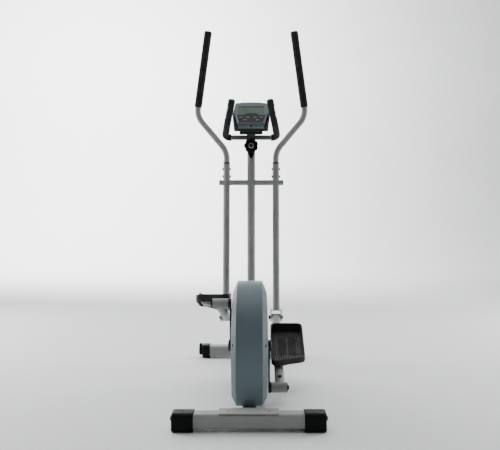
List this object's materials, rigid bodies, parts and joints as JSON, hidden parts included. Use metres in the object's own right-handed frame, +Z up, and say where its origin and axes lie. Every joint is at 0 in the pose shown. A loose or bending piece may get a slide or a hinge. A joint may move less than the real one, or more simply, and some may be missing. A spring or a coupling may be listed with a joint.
{
  "type": "elliptical trainer",
  "caption": "Rear-drive elliptical trainer with swinging handlebars, foot bars on cranks, a belt-driven flywheel, a console and a tilting fixed handlebar.",
  "frame": {"origin": "on the floor, midway along and across the machine", "axes": "+Z up, +Y towards the front, the way the user faces, +X to the user's right"},
  "size_m": [0.5519, 1.068, 1.5941],
  "materials": {
    "frame_paint": "satin silver-grey paint",
    "black_paint": "satin black paint",
    "cap_plastic": "fine grain",
    "pedal_plastic": "moulded grain",
    "housing_plastic": "satin blue-grey",
    "cover_plastic": "satin light blue-grey",
    "console_plastic": "satin blue-grey",
    "black_plastic": "satin",
    "drive_plastic": "satin",
    "foam": "closed-cell foam",
    "belt_rubber": "ribbed",
    "bush_plastic": "satin",
    "steel": "zinc plated",
    "black_steel": "black oxide",
    "cast_flywheel": "turned rim",
    "sensor_steel": "polished",
    "window": "tinted",
    "button_plastic": "satin"
  },
  "bodies": {
    "frame": {"main_frame": "frame_paint", "rear_stabilizer": "frame_paint", "front_stabilizer": "frame_paint", "rear_foot_caps": "cap_plastic", "front_foot_caps": "cap_plastic", "foot_cap_screws": "black_steel", "frame_bolts": "black_steel", "mast": "frame_paint", "pivot_axle": "steel", "crank_bearings": "steel", "drive_belt": "belt_rubber", "flywheel_axle": "steel", "brake_servo": "black_plastic", "left_cover": "cover_plastic", "right_cover": "cover_plastic", "rim_band": "housing_plastic", "cover_screws": "black_steel", "handlebar_clamp": "frame_paint", "clamp_cover": "cap_plastic", "console_front": "console_plastic", "console_back": "black_plastic", "console_bracket": "black_plastic", "display_window": "window"},
    "crank": {"crank_axle": "steel", "left_crank_arm": "black_paint", "right_crank_arm": "black_paint", "drive_pulley": "drive_plastic"},
    "flywheel": {"flywheel": "cast_flywheel"},
    "idler": {"idler_pulley": "drive_plastic"},
    "brake": {"magnet_bracket": "steel"},
    "left_roller": {"left_transport_roller": "cap_plastic"},
    "right_roller": {"right_transport_roller": "cap_plastic"},
    "fixed_bar": {"fixed_handlebar": "frame_paint", "fixed_grips": "foam", "pulse_plates": "sensor_steel"},
    "knob": {"clamp_knob": "cap_plastic"},
    "left_arm": {"left_swing_arm": "frame_paint", "left_handlebar": "frame_paint", "left_handlebar_grip": "foam", "left_handlebar_bolts": "black_steel", "left_arm_bushes": "bush_plastic"},
    "left_foot": {"left_foot_bar": "frame_paint", "left_pedal": "pedal_plastic", "left_foot_bar_bolts": "black_steel", "left_crank_pin": "black_steel"},
    "right_arm": {"right_swing_arm": "frame_paint", "right_handlebar": "frame_paint", "right_handlebar_grip": "foam", "right_handlebar_bolts": "black_steel", "right_arm_bushes": "bush_plastic"},
    "right_foot": {"right_foot_bar": "frame_paint", "right_pedal": "pedal_plastic", "right_foot_bar_bolts": "black_steel", "right_crank_pin": "black_steel"},
    "key_1": {"button_1": "button_plastic"},
    "key_2": {"button_2": "button_plastic"},
    "key_3": {"button_3": "button_plastic"},
    "key_4": {"button_4": "button_plastic"},
    "key_5": {"button_5": "button_plastic"},
    "key_6": {"button_6": "button_plastic"}
  },
  "joints": [
    {"name": "crank_spin", "type": "hinge", "parent": "frame", "child": "crank", "pos_m": [0, -0.22, 0.224], "axis": [1, 0, 0], "continuous": true},
    {"name": "flywheel_spin", "type": "hinge", "parent": "frame", "child": "flywheel", "pos_m": [0, 0.015, 0.224], "axis": [1, 0, 0], "continuous": true},
    {"name": "idler_spin", "type": "hinge", "parent": "frame", "child": "idler", "pos_m": [0, -0.0521, 0.14194], "axis": [1, 0, 0], "continuous": true},
    {"name": "brake_swing", "type": "hinge", "parent": "frame", "child": "brake", "pos_m": [0, 0.09728, 0.32205], "axis": [1, 0, 0], "range_deg": [-6, 0]},
    {"name": "left_arm_swing", "type": "hinge", "parent": "frame", "child": "left_arm", "pos_m": [0, 0.42, 0.866], "axis": [1, 0, 0], "range_deg": [-14.5, 14.5]},
    {"name": "left_foot_pivot", "type": "hinge", "parent": "left_arm", "child": "left_foot", "pos_m": [0, 0.36, 0.224], "axis": [1, 0, 0], "range_deg": [-14.5, 14.5]},
    {"name": "left_roller_spin", "type": "hinge", "parent": "frame", "child": "left_roller", "pos_m": [0, 0.5, 0.0405], "axis": [1, 0, 0], "continuous": true},
    {"name": "right_arm_swing", "type": "hinge", "parent": "frame", "child": "right_arm", "pos_m": [0, 0.42, 0.866], "axis": [1, 0, 0], "range_deg": [-14.5, 14.5]},
    {"name": "right_foot_pivot", "type": "hinge", "parent": "right_arm", "child": "right_foot", "pos_m": [0, 0.36, 0.224], "axis": [1, 0, 0], "range_deg": [-14.5, 14.5]},
    {"name": "right_roller_spin", "type": "hinge", "parent": "frame", "child": "right_roller", "pos_m": [0, 0.5, 0.0405], "axis": [1, 0, 0], "continuous": true},
    {"name": "fixed_bar_tilt", "type": "hinge", "parent": "frame", "child": "fixed_bar", "pos_m": [0, 0.4, 1.083], "axis": [1, 0, 0], "range_deg": [0, 25]},
    {"name": "knob_turn", "type": "hinge", "parent": "frame", "child": "knob", "pos_m": [0, 0.37, 1.041], "axis": [0, -1, 0], "range_deg": [0, 720]},
    {"name": "button_1_press", "type": "slide", "parent": "frame", "child": "key_1", "axis": [0, 0.7071, -0.7071], "range_m": [0, 0.0012], "stiffness_N_per_m": 600},
    {"name": "button_2_press", "type": "slide", "parent": "frame", "child": "key_2", "axis": [0, 0.7071, -0.7071], "range_m": [0, 0.0012], "stiffness_N_per_m": 600},
    {"name": "button_3_press", "type": "slide", "parent": "frame", "child": "key_3", "axis": [0, 0.7071, -0.7071], "range_m": [0, 0.0012], "stiffness_N_per_m": 600},
    {"name": "button_4_press", "type": "slide", "parent": "frame", "child": "key_4", "axis": [0, 0.7071, -0.7071], "range_m": [0, 0.0012], "stiffness_N_per_m": 600},
    {"name": "button_5_press", "type": "slide", "parent": "frame", "child": "key_5", "axis": [0, 0.7071, -0.7071], "range_m": [0, 0.0012], "stiffness_N_per_m": 600},
    {"name": "button_6_press", "type": "slide", "parent": "frame", "child": "key_6", "axis": [0, 0.7071, -0.7071], "range_m": [0, 0.0012], "stiffness_N_per_m": 600}
  ],
  "couplings": [
    {"joint": "flywheel_spin", "follows": "crank_spin", "ratio": 8.2353},
    {"joint": "idler_spin", "follows": "crank_spin", "ratio": -10},
    {"joint": "left_foot_pivot", "follows": "left_arm_swing", "ratio": -1},
    {"joint": "right_arm_swing", "follows": "left_arm_swing", "ratio": -1},
    {"joint": "right_foot_pivot", "follows": "left_arm_swing", "ratio": 1}
  ]
}
